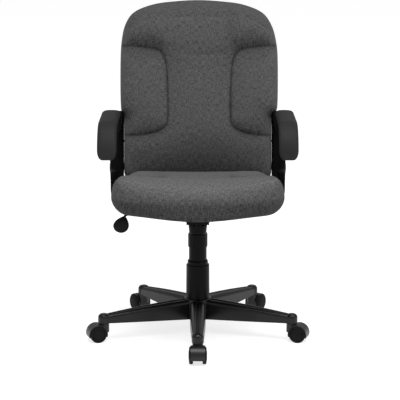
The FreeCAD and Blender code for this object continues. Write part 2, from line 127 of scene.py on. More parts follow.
def moulded(name, colour, roughness, grain, grain_depth, mottle=0.25, specular=0.3):
    """Moulded plastic: fine cast grain as bump, and slow noise that varies colour and gloss."""
    material, tree, shader = plain_material(name, colour, roughness, specular)
    place = tree.nodes.new("ShaderNodeTexCoord")
    fine = tree.nodes.new("ShaderNodeTexNoise")
    fine.inputs["Scale"].default_value = grain
    fine.inputs["Detail"].default_value = 3
    tree.links.new(place.outputs["Object"], fine.inputs["Vector"])
    bump = tree.nodes.new("ShaderNodeBump")
    bump.inputs["Distance"].default_value = grain_depth
    bump.inputs["Strength"].default_value = 0.6
    tree.links.new(fine.outputs["Fac"], bump.inputs["Height"])
    tree.links.new(bump.outputs["Normal"], shader.inputs["Normal"])
    slow = tree.nodes.new("ShaderNodeTexNoise")
    slow.inputs["Scale"].default_value = 14
    slow.inputs["Detail"].default_value = 5
    tree.links.new(place.outputs["Object"], slow.inputs["Vector"])
    tint = tree.nodes.new("ShaderNodeValToRGB")
    tint.color_ramp.elements[0].position = 0.3
    tint.color_ramp.elements[1].position = 0.7
    tint.color_ramp.elements[0].color = (*[c * (1 - mottle) for c in colour], 1)
    tint.color_ramp.elements[1].color = (*[c * (1 + mottle) for c in colour], 1)
    tree.links.new(slow.outputs["Fac"], tint.inputs["Fac"])
    tree.links.new(tint.outputs["Color"], shader.inputs["Base Color"])
    gloss = tree.nodes.new("ShaderNodeMapRange")
    gloss.inputs["To Min"].default_value = roughness - 0.05
    gloss.inputs["To Max"].default_value = roughness + 0.07
    tree.links.new(slow.outputs["Fac"], gloss.inputs["Value"])
    tree.links.new(gloss.outputs["Result"], shader.inputs["Roughness"])
    return material


def metal(name, colour, roughness):
    """Plated steel with a fine noise grain in its surface and uneven gloss."""
    material = moulded(name, colour, roughness, 700, 0.00004, 0.1, 0.5)
    material.node_tree.nodes["Principled BSDF"].inputs["Metallic"].default_value = 1
    return material


def finish_nodes(material, names):
    for node_name in names:
        for material_slot in nodes[node_name].material_slots:
            material_slot.material = material


base_nylon = moulded("satin_base_nylon", (0.0028, 0.0028, 0.0030), 0.30, 900, 0.00008, 0.25, 0.30)
cover_plastic = moulded("matt_cover_plastic", (0.0012, 0.0012, 0.0013), 0.36, 1200, 0.00008, 0.25, 0.085)
caster_nylon = moulded("caster_nylon", (0.0065, 0.0065, 0.0068), 0.36, 1400, 0.00005, 0.25, 0.34)
wheel_nylon = moulded("wheel_nylon", (0.0065, 0.0065, 0.0068), 0.5, 800, 0.0001, 0.25, 0.08)
black_steel = moulded("black_powder_coat", (0.0022, 0.0022, 0.0022), 0.42, 500, 0.0002, 0.25, 0.06)
grip_plastic = moulded("textured_grip_plastic", (0.0014, 0.0014, 0.0014), 0.42, 420, 0.0008, 0.25, 0.13)
bush_plastic = moulded("natural_acetal", (0.6, 0.59, 0.56), 0.4, 600, 0.00005, 0.05)
zinc_steel = metal("zinc_plated_steel", (0.55, 0.55, 0.54), 0.32)

CASTERS = range(1, 6)
finish_nodes(base_nylon, ["five_star_base"])
finish_nodes(cover_plastic, ["cover_bottom", "cover_middle", "cover_top"])
finish_nodes(caster_nylon, ["caster_hood_%d" % i for i in CASTERS])
finish_nodes(wheel_nylon, ["caster_wheel_%s_%d" % (side, i) for side in ("left", "right")
                           for i in CASTERS])
finish_nodes(zinc_steel, ["caster_axle_%d" % i for i in CASTERS])
finish_nodes(zinc_steel, ["caster_stems", "hub_sleeve", "piston_rod", "rod_clip", "thrust_bearing",
                          "tilt_shaft", "shaft_clips", "tension_bolt", "t_nuts", "valve_pin"])
finish_nodes(black_steel, ["column_tube", "gas_cylinder", "mechanism_housing", "tilt_plate",
                           "lever_rod", "mechanism_bolts", "arm_seat_bolts", "arm_back_bolts"])
finish_nodes(bush_plastic, ["column_bush", "lock_slider"])
finish_nodes(grip_plastic, ["tension_knob"])

# ---- Boards and dust cover -------------------------------------------------------------
# Pressed beech plywood under the seat and inside the back, and a thin black nonwoven cloth
# stapled below the seat board.


def plywood_material():
    """Beech face veneer: noise stretched along Y makes the grain."""
    material, tree, shader = plain_material("beech_plywood", (0.5, 0.35, 0.2), 0.55)
    place = tree.nodes.new("ShaderNodeTexCoord")
    stretch = tree.nodes.new("ShaderNodeMapping")
    stretch.inputs["Scale"].default_value = (90, 6, 90)
    grain = tree.nodes.new("ShaderNodeTexNoise")
    grain.inputs["Scale"].default_value = 1
    grain.inputs["Detail"].default_value = 6
    tint = tree.nodes.new("ShaderNodeValToRGB")
    tint.color_ramp.elements[0].color = (0.36, 0.22, 0.12, 1)
    tint.color_ramp.elements[1].color = (0.62, 0.46, 0.29, 1)
    tree.links.new(place.outputs["Object"], stretch.inputs["Vector"])
    tree.links.new(stretch.outputs["Vector"], grain.inputs["Vector"])
    tree.links.new(grain.outputs["Fac"], tint.inputs["Fac"])
    tree.links.new(tint.outputs["Color"], shader.inputs["Base Color"])
    return material


finish_nodes(plywood_material(), ["seat_board", "backrest_board"])
finish_nodes(moulded("nonwoven_cloth", (0.012, 0.012, 0.012), 0.9, 1600, 0.0004),
             ["seat_underside_cover"])

# ---- Upholstery cloth ------------------------------------------------------------------
# Mid grey plain weave with a light and dark fleck in the yarn, rows of yarn a little over a
# millimetre apart. Light and shade are painted into its colour by which way the cloth faces:
# painted shade where it faces down, a painted highlight on the seat's top, and painted shade on
# the back's upward-facing roll.
YARN_PITCH = 0.0013
# Strength of the painted shade in button pits, creases and seams.
PAINTED_FOLD_SHADE_STRENGTH = 0.55


def woven_cloth(name, slub, painted_facing_shade_stops):
    """Warp lines follow X, or Y-Z on a side face; weft lines follow Y+Z, which runs over a crown.

    slub is the strength of the slow unevenness of the yarn, and painted_facing_shade_stops are
    pairs of the height of the face's normal and the painted light or shade for a face that lies so.
    """
    material, tree, shader = plain_material(name, (0.09, 0.09, 0.09), 0.88, 0.08)
    new, link = tree.nodes.new, tree.links.new

    def calc(operation, *values):
        node = new("ShaderNodeMath")
        node.operation = operation
        for socket, value in zip(node.inputs, values):
            if isinstance(value, (int, float)):
                socket.default_value = value
            else:
                link(value, socket)
        return node.outputs[0]

    place = new("ShaderNodeTexCoord")
    axes = new("ShaderNodeSeparateXYZ")
    facing = new("ShaderNodeSeparateXYZ")
    link(place.outputs["Object"], axes.inputs[0])
    link(place.outputs["Normal"], facing.inputs[0])
    side = calc("GREATER_THAN", calc("ABSOLUTE", facing.outputs["X"]), 0.75)
    across = calc("ADD", calc("MULTIPLY", axes.outputs["X"], calc("SUBTRACT", 1.0, side)),
                  calc("MULTIPLY", calc("SUBTRACT", axes.outputs["Y"], axes.outputs["Z"]), side))
    along = calc("ADD", axes.outputs["Y"], axes.outputs["Z"])
    turns = 2 * math.pi / YARN_PITCH
    warp = calc("SINE", calc("MULTIPLY", across, turns))
    weft = calc("SINE", calc("MULTIPLY", along, turns))
    weave = calc("MULTIPLY", warp, weft)

    def streak(across_scale, along_scale, seed):
        grid = new("ShaderNodeCombineXYZ")
        link(calc("MULTIPLY", across, across_scale), grid.inputs[0])
        link(calc("MULTIPLY", along, along_scale), grid.inputs[1])
        grid.inputs[2].default_value = seed
        noise = new("ShaderNodeTexNoise")
        noise.inputs["Scale"].default_value = 1
        noise.inputs["Detail"].default_value = 2
        link(grid.outputs[0], noise.inputs["Vector"])
        return noise.outputs["Fac"]

    yarn = calc("ADD", streak(500, 80, 0.0), streak(80, 560, 7.0))
    fleck = calc("ADD", calc("MULTIPLY", yarn, 0.40), calc("MULTIPLY", streak(900, 900, 3.0), 0.20))
    uneven = calc("MULTIPLY", calc("SUBTRACT", streak(190, 55, 11.0), 0.5), slub)
    shade = calc("ADD", calc("ADD", fleck, uneven), calc("MULTIPLY", weave, 0.03))
    tint = new("ShaderNodeValToRGB")
    tint.color_ramp.elements[0].position = 0.38
    tint.color_ramp.elements[1].position = 0.62
    tint.color_ramp.elements[0].color = (0.036, 0.036, 0.0365, 1)
    tint.color_ramp.elements[1].color = (0.142, 0.142, 0.144, 1)
    link(shade, tint.inputs["Fac"])
    # Painted light and shade: the colour is scaled by the height of the face's normal, darker where it
    # faces down.
    painted_facing_shade = new("ShaderNodeValToRGB")
    stops = painted_facing_shade.color_ramp.elements
    while len(stops) < len(painted_facing_shade_stops):
        stops.new(0.5)
    for stop, (height, level) in zip(stops, painted_facing_shade_stops):
        stop.position = (height + 1) / 2
        stop.color = (level, level, level, 1)
    link(calc("MULTIPLY", calc("ADD", facing.outputs["Z"], 1.0), 0.5), painted_facing_shade.inputs["Fac"])
    # Painted shade in pits, creases and seams, read from a vertex attribute.
    painted_fold_input = new("ShaderNodeAttribute")
    painted_fold_input.attribute_name = "painted_fold_shade"
    painted_fold_scale = calc("SUBTRACT", 1.0, calc("MULTIPLY", painted_fold_input.outputs["Fac"], PAINTED_FOLD_SHADE_STRENGTH))
    shaded = new("ShaderNodeVectorMath")
    shaded.operation = "SCALE"
    link(tint.outputs["Color"], shaded.inputs[0])
    link(calc("MULTIPLY", painted_facing_shade.outputs["Color"], painted_fold_scale), shaded.inputs["Scale"])
    link(shaded.outputs["Vector"], shader.inputs["Base Color"])
    bump = new("ShaderNodeBump")
    bump.inputs["Distance"].default_value = 0.0003
    bump.inputs["Strength"].default_value = 0.4
    link(calc("ADD", calc("MULTIPLY", weave, 0.5), fleck), bump.inputs["Height"])
    link(bump.outputs["Normal"], shader.inputs["Normal"])
    shader.inputs["Sheen Weight"].default_value = 0.02
    shader.inputs["Sheen Roughness"].default_value = 0.5
    return material


# Painted facing shade: the seat cloth gets painted shade facing down and a painted highlight on top; the
# back cloth gets painted shade facing down and on its upward-facing roll.
seat_cloth = woven_cloth("grey_seat_cloth", 0.16, [(-0.6, 0.36), (-0.15, 0.49), (0.05, 0.68),
                                                  (0.45, 0.73), (0.75, 0.90), (0.95, 1.16)])
back_cloth = woven_cloth("grey_back_cloth", 0.05, [(-0.6, 0.54), (-0.2, 0.75), (0.0, 0.76),
                                                  (0.165, 0.82), (0.30, 0.68), (0.7, 0.66)])

# ---- Seat cushion ----------------------------------------------------------------------
# Moulded foam block with a deep rolled front, covered in cloth that is pulled under the board.
# A shallow channel crosses the top, and two tufts hold it down.
SEAT_HALF_OUTLINE = [(0, -0.2435), (0.105, -0.240), (0.180, -0.228), (0.226, -0.200),
                     (0.2405, -0.160), (0.236, -0.115), (0.227, -0.070), (0.220, -0.015),
                     (0.215, 0.060), (0.209, 0.115), (0.192, 0.156), (0.150, 0.171), (0, 0.173)]
SEAT_EQUATOR = 0.436
SEAT_UNDERSIDE = 0.3852
FRONT_SAG = 0.0085
PLUMP_VOXEL = 0.006
PLUMP_FRAMES = 20
PLUMP_LIMIT = 0.003
PLUMP_SMOOTHING = 3
TUFT_X, TUFT_Y = 0.103, -0.010
SEAT_TUFTS = [(-TUFT_X, TUFT_Y), (TUFT_X, TUFT_Y)]
TUFT_PIT = 0.003
CREASE_SLOPE = 0.6
SEAT_TOP_LEVEL = 0.43


def smooth_curve(points, per_span, closed=False):
    """Catmull-Rom curve: each span is the cubic that leaves and enters along its neighbours' chord."""
    p = np.asarray(points, float)
    if closed:
        before, start = np.roll(p, 1, 0), p
        end, after = np.roll(p, -1, 0), np.roll(p, -2, 0)
    else:
        padded = np.vstack([2 * p[0] - p[1], p, 2 * p[-1] - p[-2]])
        before, start, end, after = padded[:-3], padded[1:-2], padded[2:-1], padded[3:]
    t = np.linspace(0, 1, per_span, endpoint=False)[None, :, None]
    b, s, e, a = (v[:, None, :] for v in (before, start, end, after))
    curve = 0.5 * (2 * s + (e - b) * t + (2 * b - 5 * s + 4 * e - a) * t ** 2
                   + (3 * s - b - 3 * e + a) * t ** 3)
    curve = curve.reshape(-1, p.shape[1])
    return curve if closed else np.vstack([curve, p[-1:]])


def even_steps(curve, count):
    """The closed curve resampled at equal steps of its length."""
    ring = np.vstack([curve, curve[:1]])
    length = np.concatenate([[0], np.cumsum(np.linalg.norm(np.diff(ring, axis=0), axis=1))])
    wanted = np.linspace(0, length[-1], count, endpoint=False)
    return np.column_stack([np.interp(wanted, length, ring[:, k]) for k in range(2)])


def closed_outline(half, count=288):
    """Mirrors a half outline, given from the middle round one side to the middle, and smooths it."""
    right = np.asarray(half, float)
    left = right[-2:0:-1] * (-1, 1)
    return even_steps(smooth_curve(np.vstack([right, left]), 16, closed=True), count)


def line_distance(points, line):
    """Distance from each point to the nearest place on a polyline."""
    best = np.full(points.shape[:-1], 1e9)
    for start, end in zip(line[:-1], line[1:]):
        span = end - start
        part = np.clip(((points - start) @ span) / max(span @ span, 1e-12), 0, 1)
        gap = np.linalg.norm(points - start - part[..., None] * span, axis=-1)
        best = np.minimum(best, gap)
    return best


def plan_grid(outline, rings):
    """Points from the outline's centre to its edge, packed closer towards the edge, and edge distance."""
    centre = np.array([0, outline[:, 1].mean()])
    share = np.sin(np.linspace(0, 1, rings) * math.pi / 2)
    points = centre + share[:, None, None] * (outline - centre)
    return points, line_distance(points, np.vstack([outline, outline[:1]]))


def rounding(edge_distance, radius):
    """Quarter-circle rise from 0 at the edge to 1 at radius inwards."""
    inward = np.clip(edge_distance / radius, 0, 1)
    return np.sqrt(np.clip(1 - (1 - inward) ** 2, 0, 1))


def two_sided_shell(name, upper, lower):
    """Closed surface from two pole-to-edge grids that share their last ring."""
    rings, count = upper.shape[:2]
    points = np.vstack([upper[:1, 0], upper[1:].reshape(-1, 3), lower[:1, 0],
                        lower[1:-1].reshape(-1, 3)])
    around = np.arange(count)
    following = (around + 1) % count

    def quads(first, second):
        return np.column_stack([first + around, first + following, second + following,
                                second + around])

    upper_rows = [1 + k * count for k in range(rings - 1)]
    pole = 1 + (rings - 1) * count
    lower_rows = [pole + 1 + k * count for k in range(rings - 2)] + [upper_rows[-1]]
    faces = [(0, 1 + a, 1 + b) for a, b in zip(around, following)]
    faces += [(pole, pole + 1 + b, pole + 1 + a) for a, b in zip(around, following)]
    for k in range(rings - 2):
        faces += quads(upper_rows[k], upper_rows[k + 1])[:, ::-1].tolist()
        faces += quads(lower_rows[k], lower_rows[k + 1]).tolist()
    return build_mesh(name, points, faces)


def outward(thing):
    """Recalculates a closed mesh's normals so that its faces point outwards."""
    mesh = bmesh.new()
    mesh.from_mesh(thing.data)
    bmesh.ops.recalc_face_normals(mesh, faces=mesh.faces)
    mesh.to_mesh(thing.data)
    mesh.free()


def mix(low, high, amount):
    return low + (high - low) * np.clip(amount, 0, 1)


def smooth_step(amount):
    amount = np.clip(amount, 0, 1)
    return amount * amount * (3 - 2 * amount)


def bell(distance, width):
    return np.exp(-(distance / width) ** 2)


def seat_height(x, y):
    """Height of the seat's top before its edges are rounded: crown behind the front roll."""
    stations = np.array([-0.26, -0.20, -0.15, -0.10, -0.04, 0.03, 0.10, 0.18])
    heights = np.array([0.460, 0.467, 0.4705, 0.470, 0.464, 0.456, 0.452, 0.449])
    fitted = np.polyfit(stations, heights, 4)
    height = np.polyval(fitted, y)
    return height + mix(0.004, 0.016, (-0.02 - y) / 0.08) * (x / 0.20) ** 2


def from_crease(x, y):
    """How far a place lies outside the tufts, and how far behind the crease, which slopes back there."""
    outside = np.clip(np.abs(x) - TUFT_X, 0, 1)
    return outside, y - TUFT_Y - CREASE_SLOPE * outside


def seat_relief(x, y):
    """Channel across the top that fades at the sides, and the two tufts that pull it down."""
    outside, behind = from_crease(x, y)
    channel = bell(behind, 0.016) * np.where(outside > 0, bell(outside, 0.07), 0.45)
    hollow = 0.002 * bell(x, 0.12) * bell(y, 0.08)
    pulls = sum(TUFT_PIT * bell(np.hypot(x - tx, (y - ty) * 0.8), 0.016) for tx, ty in SEAT_TUFTS)
    return -0.002 * channel - hollow - pulls


def mesh_points(data):
    points = np.empty(3 * len(data.vertices))
    data.vertices.foreach_get("co", points)
    return points.reshape(-1, 3)


def evaluated_copy(thing):
    """Mesh of the object with its modifiers applied."""
    graph = bpy.context.evaluated_depsgraph_get()
    return bpy.data.meshes.new_from_object(thing.evaluated_get(graph))


def relaxed(data, shifts):
    """Averages every vertex's shift with its neighbours', a few times over."""
    ends = np.empty(2 * len(data.edges), int)
    data.edges.foreach_get("vertices", ends)
    first, second = ends.reshape(-1, 2).T
    count = np.bincount(ends, minlength=len(shifts))[:, None]
    for _ in range(PLUMP_SMOOTHING):
        total = np.column_stack([np.bincount(first, shifts[second, k], len(shifts))
                                 + np.bincount(second, shifts[first, k], len(shifts))
                                 for k in range(3)])
        shifts = 0.5 * shifts + 0.5 * total / count
    return shifts


def plump(thing, held):
    """Settles a cushion's cloth under a light pressure; held gives each point's hold, 0 to 1.

    The cloth runs on an even copy of the mesh, moves PLUMP_LIMIT at most, and is subdivided once.
    """
    shell = bpy.data.objects.new("plump", thing.data)
    bpy.context.collection.objects.link(shell)
    even = shell.modifiers.new("even", "REMESH")
    even.mode = "VOXEL"
    even.voxel_size = PLUMP_VOXEL
    shell.data = evaluated_copy(shell)
    shell.modifiers.clear()
    start = mesh_points(shell.data)
    group = shell.vertex_groups.new(name="held")
    for index, weight in enumerate(held(start)):
        group.add([index], float(weight), "REPLACE")
    cover = shell.modifiers.new("cover", "CLOTH")
    settings = cover.settings
    settings.quality = 4
    settings.mass = 0.3
    settings.bending_stiffness = 0.4
    settings.use_pressure = True
    settings.uniform_pressure_force = 4
    settings.vertex_group_mass = "held"
    settings.effector_weights.gravity = 0
    cover.point_cache.frame_end = PLUMP_FRAMES
    for moment in range(1, PLUMP_FRAMES + 1):
        bpy.context.scene.frame_set(moment)
    moved = mesh_points(evaluated_copy(shell)) - start
    bpy.context.scene.frame_set(1)
    length = np.linalg.norm(moved, axis=1)[:, None]
    moved = relaxed(shell.data, moved * np.minimum(1, PLUMP_LIMIT / np.maximum(length, 1e-9)))
    shell.modifiers.clear()
    shell.data.vertices.foreach_set("co", (start + moved).ravel())
    fine = shell.modifiers.new("fine", "SUBSURF")
    fine.levels = 1
    thing.data = evaluated_copy(shell)
    thing.data.polygons.foreach_set("use_smooth", np.ones(len(thing.data.polygons), bool))
    bpy.data.objects.remove(shell)


def seat_hold(points):
    """Stapled below the board, pulled down at the tufts, and free on top and round the sides."""
    x, y, z = points.T
    tufts = sum(bell(np.hypot(x - tx, y - ty), 0.012) for tx, ty in SEAT_TUFTS)
    return np.clip(tufts + smooth_step((0.402 - z) / 0.010), 0, 1)


def tuft(thing):
    """Pulls each button place of the plumped cushion down again into a narrow pit."""
    points = mesh_points(thing.data)
    x, y, z = points.T
    pits = sum(bell(np.hypot(x - tx, 0.8 * (y - ty)), 0.010) for tx, ty in SEAT_TUFTS)
    points[:, 2] -= TUFT_PIT * pits * (z > SEAT_TOP_LEVEL)
    thing.data.vertices.foreach_set("co", points.ravel())


def seat_painted_fold_shade(thing):
    """Painted shade in the button pits, in the crease that runs out from each of them, and in a patch
    behind each pit.
    """
    x, y, z = mesh_points(thing.data).T
    outside, behind = from_crease(x, y)
    crease = bell(behind, 0.009) * np.where(outside > 0, 0.6 * bell(outside, 0.06), 0.25)
    pits = sum(bell(np.hypot(x - tx, 0.6 * (y - ty)), 0.012) for tx, ty in SEAT_TUFTS)
    shade_behind_tufts = sum(0.3 * bell(x - tx, 0.018) * bell(y - ty - 0.045, 0.05) for tx, ty in SEAT_TUFTS)
    return np.clip(crease + pits + shade_behind_tufts, 0, 1) * (z > SEAT_TOP_LEVEL)


def paint_fold_shade(thing, amount):
    """Stores on every vertex how deep in a fold it lies, as painted shade that darkens the cloth there."""
    layer = thing.data.attributes.new("painted_fold_shade", "FLOAT", "POINT")
    layer.data.foreach_set("value", np.asarray(amount, float))


seat_outline = closed_outline(SEAT_HALF_OUTLINE)
seat_plan, seat_edge = plan_grid(seat_outline, 72)
sx, sy = seat_plan[..., 0], seat_plan[..., 1]
front_share = np.clip((-0.06 - sy) / 0.14, 0, 1)
rear_share = np.clip((sy - 0.08) / 0.08, 0, 1)
equator = SEAT_EQUATOR - 0.014 * rear_share
front_fall = mix(0.58, 1.0, rounding(sy - SEAT_HALF_OUTLINE[0][1], 0.105))
rise = rounding(seat_edge, mix(0.020, 0.038, front_share)) * front_fall
top_z = equator + (seat_height(sx, sy) - equator) * rise + seat_relief(sx, sy) * rise
corner_share = front_share * smooth_step((np.abs(sx) - 0.05) / 0.14)
under_z = SEAT_UNDERSIDE - FRONT_SAG * front_share * bell(sx, 0.115)
drop = rounding(seat_edge, mix(0.026, 0.058, corner_share))
bottom_z = equator - (equator - under_z) * drop
seat_cushion = two_sided_shell("seat_cushion_cloth", np.dstack([sx, sy, top_z]),
                               np.dstack([sx, sy, bottom_z]))
outward(seat_cushion)
plump(seat_cushion, seat_hold)
tuft(seat_cushion)
# Painted shade in the seat's button pits and creases.
paint_fold_shade(seat_cushion, seat_painted_fold_shade(seat_cushion))
seat_cushion.data.materials.append(seat_cloth)
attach(seat_cushion, "seat")
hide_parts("seat_cushion")

# ---- Backrest cushion ------------------------------------------------------------------
# Foam pad sewn from an hourglass middle, a bolster on each side and a roll across the top. The
# cloth dips into every seam and is pulled round the board behind.
BACK_FOOT = (0.0, 0.130, 0.455)
BACK_RECLINE = math.radians(9.5)
BACK_JOINT_DEPTH = 0.0565
BACK_REAR_DEPTH = 0.088
BACK_HALF_OUTLINE = [(0, -0.034), (0.120, -0.034), (0.186, -0.033), (0.211, -0.024), (0.2200, -0.004),
                     (0.2205, 0.040), (0.2205, 0.100), (0.2212, 0.154), (0.2255, 0.170),
                     (0.2290, 0.190), (0.2305, 0.240), (0.2300, 0.330), (0.2265, 0.388),
                     (0.2165, 0.434), (0.193, 0.470), (0.145, 0.4922), (0.075, 0.504), (0, 0.509)]
BULGE_RIGHT, BULGE_LEFT = 0.009, 0.001
CUSHION_FRONT_DEPTH = 0.04
SEAM_DIP = 0.0024
SEAM_HALF_WIDTH = 0.0026
SEAM_SKEW = 0.004
BOLSTER_SEAM = [(0.245, 0.372), (0.204, 0.370), (0.158, 0.366), (0.124, 0.359), (0.108, 0.346),
                (0.099, 0.322), (0.0950, 0.285), (0.0930, 0.235), (0.0925, 0.185), (0.0930, 0.154),
                (0.0985, 0.134), (0.116, 0.121), (0.144, 0.112), (0.179, 0.107), (0.245, 0.107)]


def back_to_world(x, depth, height):
    """From the back's own frame (across, behind its front face, up it) to the chair's."""
    y = BACK_FOOT[1] + depth * math.cos(BACK_RECLINE) + height * math.sin(BACK_RECLINE)
    z = BACK_FOOT[2] + height * math.cos(BACK_RECLINE) - depth * math.sin(BACK_RECLINE)
    return np.stack([x, y, z], axis=-1)


bolster_line = smooth_curve(BOLSTER_SEAM, 6)


def seam_distance(x, height):
    return line_distance(np.stack([np.abs(x - SEAM_SKEW), height], axis=-1), bolster_line)


def inside_bolster(x, height):
    """1 on the bolster's side of its seam, found by counting seam crossings towards the edge."""
    ax = np.abs(x - SEAM_SKEW)
    crossings = np.zeros(ax.shape, int)
    for (x0, h0), (x1, h1) in zip(bolster_line[:-1], bolster_line[1:]):
        spans = (x0 > ax) != (x1 > ax)
        level = h0 + (ax - x0) * (h1 - h0) / (x1 - x0 + 1e-12)
        crossings += spans & (height > level)
    return crossings % 2


def back_relief(x, height):
    """How far the front stands out: panels swell away from the seams, most in the top roll."""
    gap = seam_distance(x, height)
    roll = smooth_step((height - 0.30) / 0.11)
    outer = np.clip((np.abs(x) - 0.085) / 0.03, 0, 1)
    bolster = inside_bolster(x, height)
    swell = np.where(bolster == 1, 0.016, mix(0.010, mix(0.014, 0.030, outer), roll))
    reach = np.where(bolster == 1, 0.020, mix(0.020, 0.019, roll * outer))
    return swell * (1 - np.exp(-gap / reach)) - SEAM_DIP * bell(gap, SEAM_HALF_WIDTH)


def world_to_back(points):
    """The reverse of back_to_world, as three arrays."""
    x, y, z = points.T
    y, z = y - BACK_FOOT[1], z - BACK_FOOT[2]
    depth = y * math.cos(BACK_RECLINE) - z * math.sin(BACK_RECLINE)
    height = y * math.sin(BACK_RECLINE) + z * math.cos(BACK_RECLINE)
    return x, depth, height


def back_hold(points):
    """Held along the seams and where the cloth goes round the board."""
    x, depth, height = world_to_back(points)
    seams = bell(seam_distance(x, height), 0.006) * (depth < CUSHION_FRONT_DEPTH)
    return np.clip(seams + smooth_step((depth - 0.036) / 0.014), 0, 1)


def seam_folds(thing):
    """1 along the seams on the cushion's front, falling to 0 beside them."""
    x, depth, height = world_to_back(mesh_points(thing.data))
    return bell(seam_distance(x, height), 1.2 * SEAM_HALF_WIDTH) * (depth < CUSHION_FRONT_DEPTH)


def sew(thing):
    """Cuts the narrow dip of every seam into the front of the plumped cushion."""
    x, depth, height = world_to_back(mesh_points(thing.data))
    dip = SEAM_DIP * seam_folds(thing)
    thing.data.vertices.foreach_set("co", back_to_world(x, depth + dip, height).ravel())


back_outline = closed_outline(BACK_HALF_OUTLINE, 320)
bulge = smooth_step((back_outline[:, 1] - 0.155) / 0.035) * smooth_step((0.50 - back_outline[:, 1]) / 0.16)
back_outline[:, 0] += np.where(back_outline[:, 0] > 0, BULGE_RIGHT, -BULGE_LEFT) * bulge
back_plan, back_edge = plan_grid(back_outline, 90)
bx, bh = back_plan[..., 0], back_plan[..., 1]
lumbar = 0.030 * np.clip(1 - bh / 0.13, 0, 1.3) ** 1.5
head_roll = 0.012 * smooth_step((bh - 0.26) / 0.22)
front_depth = 0.006 + lumbar - head_roll - back_relief(bx, bh)
round_in = rounding(back_edge, 0.040)
cushion_front = BACK_JOINT_DEPTH + (front_depth - BACK_JOINT_DEPTH) * round_in
cushion_rear = np.full_like(bx, BACK_JOINT_DEPTH)
back_cushion = two_sided_shell("backrest_cushion_cloth", back_to_world(bx, cushion_rear, bh),
                               back_to_world(bx, cushion_front, bh))
outward(back_cushion)
plump(back_cushion, back_hold)
sew(back_cushion)
# Painted shade along the back's seams.
paint_fold_shade(back_cushion, seam_folds(back_cushion))
back_cushion.data.materials.append(back_cloth)
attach(back_cushion, "seat")
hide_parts("backrest_cushion")

# ---- Backrest rear panel ---------------------------------------------------------------
# Thin padded panel in the same cloth that closes the back behind the board, with a sewn-in
# piping all round where it meets the front cushion.
PIPING_R = 0.0028


def superellipse(half_width, half_height, power, steps):
    """Rounded rectangle |u/a|^n + |v/b|^n = 1 as a ring of (u, v)."""
    angle = np.linspace(0, 2 * math.pi, steps, endpoint=False)
    c, s = np.cos(angle), np.sin(angle)
    return np.stack([half_width * np.sign(c) * np.abs(c) ** (2 / power),
                     half_height * np.sign(s) * np.abs(s) ** (2 / power)], axis=-1)


def ring_faces(rows, steps, close):
    """Quads between neighbouring rings, and round to the first ring again when close is true."""
    faces = []
    around = np.arange(steps)
    following = (around + 1) % steps
    for k in range(rows if close else rows - 1):
        a, b = k * steps, ((k + 1) % rows) * steps
        faces += np.column_stack([a + around, a + following, b + following, b + around]).tolist()
    return faces


def piping(outline, depth):
    """Round cord in a sleeve of cloth along the outline of the back."""
    along = np.roll(outline, -1, 0) - np.roll(outline, 1, 0)
    along /= np.linalg.norm(along, axis=1)[:, None]
    out = np.column_stack([along[:, 1], -along[:, 0]])
    section = superellipse(PIPING_R, PIPING_R, 2, 10)
    outline = outline - out * PIPING_R
    across = outline[:, None, 0] + out[:, None, 0] * section[None, :, 0]
    height = outline[:, None, 1] + out[:, None, 1] * section[None, :, 0]
    cord = back_to_world(across, depth + section[None, :, 1] + 0 * across, height)
    return build_mesh("backrest_piping", cord, ring_faces(len(outline), len(section), True))


rear_swell = rounding(back_edge, 0.030)
panel_start = BACK_JOINT_DEPTH + 0.001
panel_rear = panel_start + (BACK_REAR_DEPTH - panel_start) * rear_swell
panel_front = np.full_like(bx, panel_start)
rear_panel = two_sided_shell("backrest_rear_cloth", back_to_world(bx, panel_rear, bh),
                             back_to_world(bx, panel_front, bh))
cord = piping(back_outline, BACK_JOINT_DEPTH + 0.0005)
for thing in (rear_panel, cord):
    outward(thing)
    thing.data.materials.append(back_cloth)
    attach(thing, "seat")
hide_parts("backrest_rear_panel")

# ---- Arm frames ------------------------------------------------------------------------
# Each arm is one glass-filled nylon moulding: a closed loop of rounded bar with a foot that
# bolts under the seat board, the same on both sides.
ARM_INNER, ARM_OUTER = 0.221, 0.243
ARM_BAND = 0.028
ARM_CORNERS = [((-0.150, 0.620), 0.074), ((0.232, 0.629), 0.045), ((0.190, 0.392), 0.050),
               ((-0.008, 0.392), 0.040), ((-0.008, 0.474), 0.040), ((-0.150, 0.512), 0.044)]
arm_nylon = moulded("satin_arm_nylon", (0.0042, 0.0042, 0.0044), 0.6, 900, 0.0001, 0.25, 0.012)


def corner_arc(back, here, ahead, radius, steps=16):
    """Arc in (y, z) tangent to the lines from a corner back and ahead."""
    back, here, ahead = (np.array(p) for p in (back, here, ahead))
    before = (back - here) / np.linalg.norm(back - here)
    after = (ahead - here) / np.linalg.norm(ahead - here)
    half = math.acos(np.clip(before @ after, -1, 1)) / 2
    centre = here + (before + after) / np.linalg.norm(before + after) * radius / math.sin(half)
    start = here + before * radius / math.tan(half) - centre
    end = here + after * radius / math.tan(half) - centre
    turn = math.atan2(start[0] * end[1] - start[1] * end[0], start @ end)
    angles = np.linspace(0, turn, steps)
    return centre + np.stack([start[0] * np.cos(angles) - start[1] * np.sin(angles),
                              start[0] * np.sin(angles) + start[1] * np.cos(angles)], axis=-1)


def arm_arcs():
    count = len(ARM_CORNERS)
    places = [corner for corner, radius in ARM_CORNERS]
    return [corner_arc(places[i - 1], places[i], places[(i + 1) % count], ARM_CORNERS[i][1])
            for i in range(count)]


def path_inward(path, closed):
    """Unit normals of a (y, z) path that runs round the arm from its front to its rear."""
    along = np.roll(path, -1, 0) - np.roll(path, 1, 0) if closed else np.gradient(path, axis=0)
    along /= np.linalg.norm(along, axis=1)[:, None]
    return np.stack([along[:, 1], -along[:, 0]], axis=-1)


